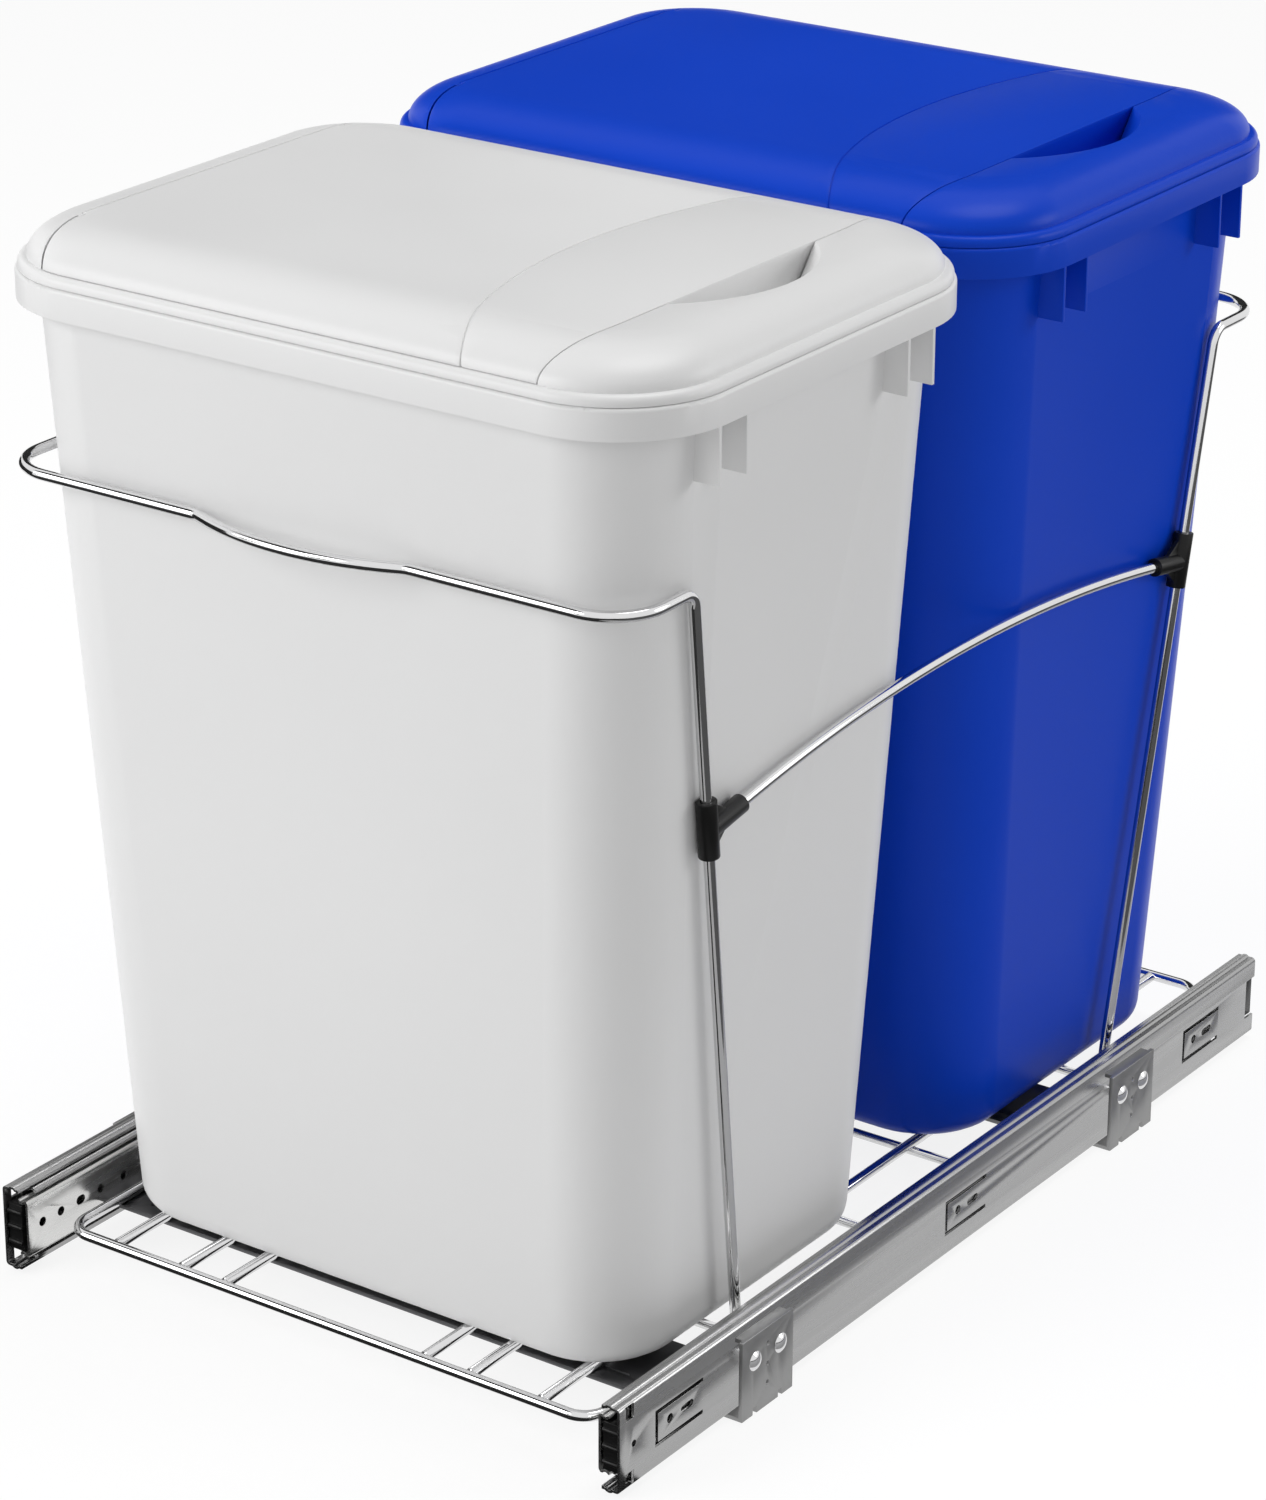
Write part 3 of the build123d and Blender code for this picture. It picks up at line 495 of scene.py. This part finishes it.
def rolled_steel(name, dark, light):
    material, nodes, links, shader, place = new_material(name)
    shader.inputs["Metallic"].default_value = 1.0
    grain = noise(nodes, links, place, rolling_scale, calm_detail, along_the_slide)
    links.new(two_shades(nodes, links, grain, dark, light), shader.inputs["Base Color"])
    links.new(spread(nodes, links, grain, *rolled_roughness), shader.inputs["Roughness"])
    bump(nodes, links, shader, grain, rolling_depth, rolling_strength)
    return material


def pressed_steel(name, dark, light):
    material, nodes, links, shader, place = new_material(name)
    shader.inputs["Metallic"].default_value = 1.0
    mottle = noise(nodes, links, place, mottle_scale, mottle_detail)
    links.new(two_shades(nodes, links, mottle, dark, light), shader.inputs["Base Color"])
    links.new(spread(nodes, links, mottle, *pressed_roughness), shader.inputs["Roughness"])
    pits = noise(nodes, links, place, pit_scale)
    bump(nodes, links, shader, pits, pit_depth, pit_strength)
    return material


slide_zinc = rolled_steel("slide_zinc", grey(0.36), grey(0.40))
# A lighter copy of the slide's zinc, for the inner channels: its extra brightness is painted
# light.
inner_zinc_painted_light = rolled_steel("inner_zinc_painted_light", (0.68, 0.68, 0.67), (0.76, 0.76, 0.75))
bracket_steel = pressed_steel("bracket_steel", grey(0.27), grey(0.32))
# Far darker than the brackets' steel: the plates' extra darkness is painted shade from the bins
# above.
plate_steel = pressed_steel("plate_steel", (0.13, 0.13, 0.135), (0.18, 0.18, 0.185))
print("steels:", slide_zinc.name, inner_zinc_painted_light.name, bracket_steel.name, plate_steel.name)

# %% [markdown]
# ## Dress the engineering pieces
# Each piece could be given its finish by hand, but the engineer's record already says which
# one it has, so a loop over the record does it. Two kinds get a finish other than the
# recorded one: the rivets, recorded as the brackets' steel, are polished, and the inner
# channels get the lighter copy of the slide's zinc, which is painted light. A piece keeps its
# mesh here, and only what is in its material slots changes. The copies made further down
# take that finish along.

# %% Dress the carried nodes
finishes = {
    "white_plastic": white_plastic,
    "blue_plastic": blue_plastic,
    "chrome_wire": chrome_wire,
    "slide_zinc": slide_zinc,
    "bracket_steel": bracket_steel,
    "plate_steel": plate_steel,
    "black_plastic": black_plastic,
    "ball_steel": ball_steel,
}


def finish_of(name, recorded):
    if "rivets" in name:
        return rivet_steel
    # The inner channels' lighter zinc is painted light.
    if "inner_channel" in name:
        return inner_zinc_painted_light
    return finishes[recorded]


for row in frame["record"]["subparts"]:
    node = frame["nodes"][row["node"]]
    finish = finish_of(row["node"], row["material_slot"])
    if not node.material_slots:
        node.data.materials.append(finish)
    for slot in node.material_slots:
        slot.material = finish

# %% [markdown]
# ## Smooth, softened copies
# The engineering mesh comes as loose triangles, so a round surface shows its facets in every
# highlight. It is left as it is, and a copy takes its place: doubled points are merged, and
# curved faces are shaded smoothly up to an angle. On pressed and moulded pieces, triangles
# that lie in one plane are joined first, and the sharp edges then get a small rounding. The
# rounding could be in the engineering model, but no size there depends on it. Here it has to
# show, because no real edge is perfectly sharp, and the line of light along it makes a piece
# look solid.

# %% A smooth copy
merge_distance = 0.002 * mm
sharp_angle = math.radians(32)
round_angle = math.radians(60)
flat_angle = math.radians(0.6)
rounding_steps = 2


def pick(piece):
    """Selects one piece alone, so that the next operators act on nothing else."""
    bpy.ops.object.select_all(action="DESELECT")
    piece.select_set(True)
    bpy.context.view_layer.objects.active = piece


def own_copy(piece, name):
    """A copy with a mesh of its own."""
    copy = piece.copy()
    copy.data = piece.data.copy()
    copy.name = name
    scene.collection.objects.link(copy)
    return copy


def join_faces(copy, join_flat):
    """Merges doubled points and, if asked, joins the triangles of each flat face."""
    pick(copy)
    bpy.ops.object.mode_set(mode="EDIT")
    bpy.ops.mesh.select_all(action="SELECT")
    bpy.ops.mesh.remove_doubles(threshold=merge_distance)
    if join_flat:
        bpy.ops.mesh.dissolve_limited(angle_limit=flat_angle)
    bpy.ops.object.mode_set(mode="OBJECT")


def round_edges(copy, width):
    rounding = copy.modifiers.new("rounding", "BEVEL")
    rounding.width = width
    rounding.segments = rounding_steps
    rounding.limit_method = "ANGLE"
    rounding.angle_limit = sharp_angle
    bpy.ops.object.modifier_apply(modifier=rounding.name)


def smooth_copy(name, edge_width=0.0):
    """Replaces a node by a smooth copy, its sharp edges rounded to a width if one is given."""
    node = frame["nodes"][name]
    copy = own_copy(node, name + "_formed")
    copy.parent = None
    for key in list(copy.keys()):
        del copy[key]
    softened = edge_width > 0
    join_faces(copy, softened)
    if softened:
        round_edges(copy, edge_width)
    bpy.ops.object.shade_smooth_by_angle(angle=sharp_angle if softened else round_angle)
    copy.select_set(False)
    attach(copy, node["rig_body"])
    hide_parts(name)
    print(copy.name, len(copy.data.polygons))
    return copy


# %% [markdown]
# ## Straight wires and balls
# The long and the crossing wires of the base are straight, and the balls of the slides are
# round. They could be made anew as cylinders and spheres, but their engineering mesh already
# has even rows, so a merged and smoothly shaded copy is all that they need. No sharp edge on
# them asks for a rounding.

# %% Straight wires and balls
def nodes_with(*words):
    """The names of the nodes that have one of the words in them."""
    return [name for name in frame["nodes"] if any(word in name for word in words)]


for name in nodes_with("cross_wire", "long_wires", "balls"):
    smooth_copy(name)

# %% [markdown]
# ## Bent wires, bent again
# The rim wire, the hoops and the braces are drawn rod, bent cold round small rollers, and
# their section stays round through every bend. The engineering mesh cuts its bends into
# uneven slivers, and chrome shows each of them as a bead of light, which no smoothing hides.
# A curve with a round profile could replace it. Here the wires are made as they are made in
# the works, because the bends then get even rings: a ring of the wire's section is pushed
# straight ahead, and swung round a roller at each bend, along the same centre lines as before.

# %% A wire bender
wire_radius = 2.6 * mm
wire_height = 22.8 * mm
ring_sides = 28
bend_error = 0.02 * mm
largest_step = math.radians(6)
fewest_steps = 2


def start_wire(name, place, way):
    """A ring of the wire's section at the wire's first end, left in edit mode."""
    bpy.ops.object.select_all(action="DESELECT")
    turn = way.to_track_quat("Z", "Y").to_euler()
    bpy.ops.mesh.primitive_circle_add(
        vertices=ring_sides,
        radius=wire_radius,
        location=place,
        rotation=turn,
    )
    bpy.context.active_object.name = name
    bpy.ops.object.mode_set(mode="EDIT")
    return {"place": place.copy(), "way": way.normalized()}


def push(wire, length):
    move = wire["way"] * length
    bpy.ops.mesh.extrude_region_move(TRANSFORM_OT_translate={"value": move})
    wire["place"] = wire["place"] + move


def ahead(wire, length):
    """A straight run. A ring near each end keeps the shading of the bends out of it."""
    push(wire, wire_radius)
    push(wire, length - 2 * wire_radius)
    push(wire, wire_radius)


def swing(wire, way, roller):
    """Bends the wire round a roller of a radius, until it points a new way."""
    old = wire["way"]
    way = way.normalized()
    side = (way - old * old.dot(way)).normalized()
    centre = wire["place"] + side * roller
    axis = old.cross(way).normalized()
    angle = old.angle(way)
    step = min(largest_step, 2 * math.acos(1 - bend_error / roller))
    steps = max(fewest_steps, math.ceil(angle / step))
    bpy.ops.mesh.spin(steps=steps, angle=-angle, center=centre, axis=axis)
    wire["place"] = centre + Matrix.Rotation(angle, 3, axis) @ (wire["place"] - centre)
    wire["way"] = way


print("wire:", 2 * wire_radius / mm, "mm thick, with", ring_sides, "sides")

# %% [markdown]
# ## Finishing a bent wire
# A loop ends where it began, so its last ring is merged into the first. An open wire gets a
# face over each cut end. Spinning can turn faces inside out, and so the normals are made to
# point outwards at the end. The place and turn of the first ring then go into the mesh, so
# that the finished wire sits at the origin, as the engineering pieces do.

# %% Ends, place and chrome
ring_gap = 0.01 * mm


def apply_place():
    bpy.ops.object.transform_apply(location=True, rotation=True, scale=True)


def close_wire(loop=False):
    """Ends the bending, from edit mode, and gives back the finished wire."""
    bpy.ops.mesh.select_all(action="SELECT")
    if loop:
        bpy.ops.mesh.remove_doubles(threshold=ring_gap)
    else:
        bpy.ops.mesh.fill_holes(sides=0)
    bpy.ops.mesh.normals_make_consistent(inside=False)
    bpy.ops.object.mode_set(mode="OBJECT")
    apply_place()
    return bpy.context.active_object


def fit_wire(piece, node_name):
    """Gives the wire its chrome and puts it in the place of its node."""
    pick(piece)
    bpy.ops.object.shade_smooth_by_angle(angle=round_angle)
    piece.select_set(False)
    piece.data.materials.append(chrome_wire)
    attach(piece, frame["nodes"][node_name]["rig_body"])
    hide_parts(node_name)
    print(piece.name, len(piece.data.polygons))


print("rings of a loop merge within", ring_gap / mm, "mm")

# %% [markdown]
# ## The rim wire
# One closed loop goes round the base. The long wires end at it, the crossing wires end under
# it, and the hoops' feet stand beside it. It could be a rectangle with rounded corners and a
# round profile. With the bender it takes eight moves: four straight runs, each with a
# quarter turn after it.

# %% The rim wire of the base
rim_half = 150 * mm
rim_front = -264.1 * mm
rim_rear = 271 * mm
rim_corner = 12 * mm


def rim_loop():
    across = 2 * rim_half - 2 * rim_corner
    along = rim_rear - rim_front - 2 * rim_corner
    start = Vector((-rim_half + rim_corner, rim_front, wire_height))
    wire = start_wire("base_rim_wire_bent", start, Vector((1, 0, 0)))
    sides = [(across, (0, 1, 0)), (along, (-1, 0, 0)), (across, (0, -1, 0)), (along, (1, 0, 0))]
    for length, next_way in sides:
        ahead(wire, length)
        swing(wire, Vector(next_way), rim_corner)
    return close_wire(loop=True)


fit_wire(rim_loop(), "base_rim_wire")

# %% [markdown]
# ## The hoops
# Each hoop stands on the base with two uprights that lean outwards. At the top it turns over
# towards the end of the frame and goes round the bin's corner, and its middle is bowed out a
# little to follow the bin's bulge. It could be bent from foot to foot, but both halves come
# from the same rollers, so one half is bent as far as the middle of the bow and mirrored.
# The bow's roller follows from its width and depth. A small roller on the other side of the
# wire leads the straight run into it.

# %% Half a hoop
hoop_foot = Vector((155.4 * mm, -160.7 * mm, wire_height))
hoop_bend = Vector((168.191 * mm, -217 * mm, 395.2 * mm))
hoop_reach = 264.28 * mm
top_roller = 8 * mm
corner_roller = 25 * mm
kink_roller = 12 * mm
bow_half_width = 56 * mm
bow_depth = 11.8 * mm


def half_hoop(name):
    bow_roller = (bow_half_width ** 2 + bow_depth ** 2) / (2 * bow_depth)
    rollers_apart = bow_roller + kink_roller
    kink_x = math.sqrt(rollers_apart ** 2 - (rollers_apart - bow_depth) ** 2)
    kink_angle = math.asin(kink_x / rollers_apart)
    up = (hoop_bend - hoop_foot).normalized()
    forward = Vector((0, -1, 0))
    inward = Vector((-1, 0, 0))
    bowed_out = Vector((-math.cos(kink_angle), -math.sin(kink_angle), 0))
    top_trim = top_roller * math.tan(up.angle(forward) / 2)
    start = hoop_foot - up * wire_radius
    wire = start_wire(name, start, up)
    ahead(wire, (hoop_bend - start).length - top_trim)
    swing(wire, forward, top_roller)
    ahead(wire, hoop_reach + hoop_bend.y - top_trim - corner_roller)
    swing(wire, inward, corner_roller)
    ahead(wire, hoop_bend.x - corner_roller - kink_x)
    swing(wire, bowed_out, kink_roller)
    swing(wire, inward, bow_roller)
    bpy.ops.object.mode_set(mode="OBJECT")
    apply_place()
    return bpy.context.active_object


print("hoop's top:", round(hoop_bend.z / mm, 1), "mm above the floor")

# %% [markdown]
# ## Both halves, both hoops
# The mirror joins the halves at the middle of the bow, where their rings fall together. The
# rear hoop could be bent in the same way, but it is the same hoop facing the other end, so
# it is a copy with a negative scale along the slides. That turns its faces inside out, and
# its normals are worked out again.

# %% Whole hoops
mirror_gap = 0.05 * mm


def whole_hoop(name):
    hoop = half_hoop(name)
    mirror = hoop.modifiers.new("other_half", "MIRROR")
    mirror.merge_threshold = mirror_gap
    bpy.ops.object.modifier_apply(modifier=mirror.name)
    bpy.ops.object.mode_set(mode="EDIT")
    return close_wire()


def facing_back(hoop, name):
    other = own_copy(hoop, name)
    pick(other)
    other.scale = (1, -1, 1)
    apply_place()
    bpy.ops.object.mode_set(mode="EDIT")
    bpy.ops.mesh.select_all(action="SELECT")
    bpy.ops.mesh.normals_make_consistent(inside=False)
    bpy.ops.object.mode_set(mode="OBJECT")
    return other


front_hoop = whole_hoop("hoop_front_bent")
rear_hoop = facing_back(front_hoop, "hoop_rear_bent")
fit_wire(front_hoop, "hoop_front")
fit_wire(rear_hoop, "hoop_rear")

# %% [markdown]
# ## The braces
# A brace ties the front hoop to the rear one on each side. It is a shallow arch that ends in
# the socket of a clip at the front and at the rear. A straight wire could be bowed with a
# modifier, but the bender has all that it takes: one swing round a very large roller.

# %% Braces
clip_x = 164.337 * mm
clip_height = 283 * mm
brace_end = 193.037 * mm
brace_roller = 1073.42 * mm


def bent_brace(side, node_name):
    lean = math.asin(brace_end / brace_roller)
    start = Vector((side * clip_x, -brace_end, clip_height))
    rising = Vector((0, math.cos(lean), math.sin(lean)))
    falling = Vector((0, math.cos(lean), -math.sin(lean)))
    wire = start_wire(node_name + "_bent", start, rising)
    swing(wire, falling, brace_roller)
    return close_wire()


for side, name in ((-1, "brace_left"), (1, "brace_right")):
    fit_wire(bent_brace(side, name), name)

# %% [markdown]
# ## Sheet metal
# Channels are rolled from 1.3 mm strip, the plates under the wires and the floor brackets
# are pressed from 2 mm sheet, and the ball cages from half a millimetre. One rounding of a
# quarter of a millimetre serves them all: it breaks the edges of the thicker sheet, and
# takes the cages' thin edges right round. A wider one would make the steel look melted.
#
# A floor bracket's plate stands off the slide, and in the picture the slide's web stays
# light behind it. The gap could be closed, but that would change the bracket's form. So the
# form stays, and the bracket's shade and mirror image are kept off the web.

# %% Softened sheet metal
sheet_edge = 0.25 * mm
for name in nodes_with("channel", "cage", "plate", "bracket"):
    softened_sheet = smooth_copy(name, sheet_edge)
    if "floor_bracket" in name:
        softened_sheet.visible_glossy = False
        softened_sheet.visible_shadow = False

# %% [markdown]
# ## Bins, lids and small mouldings
# A mould's edges are rounded, so that the plastic fills them and the piece lets go. They are
# softer than the edges of cut sheet, so the same copy as before is made with a wider
# rounding. On the lids it draws the thin lines of light along the seams, the recess and the
# skirt.

# %% Softened mouldings
moulding_edge = 0.6 * mm
for name in nodes_with("bin", "lid", "clip", "bumper", "stop"):
    smooth_copy(name, moulding_edge)
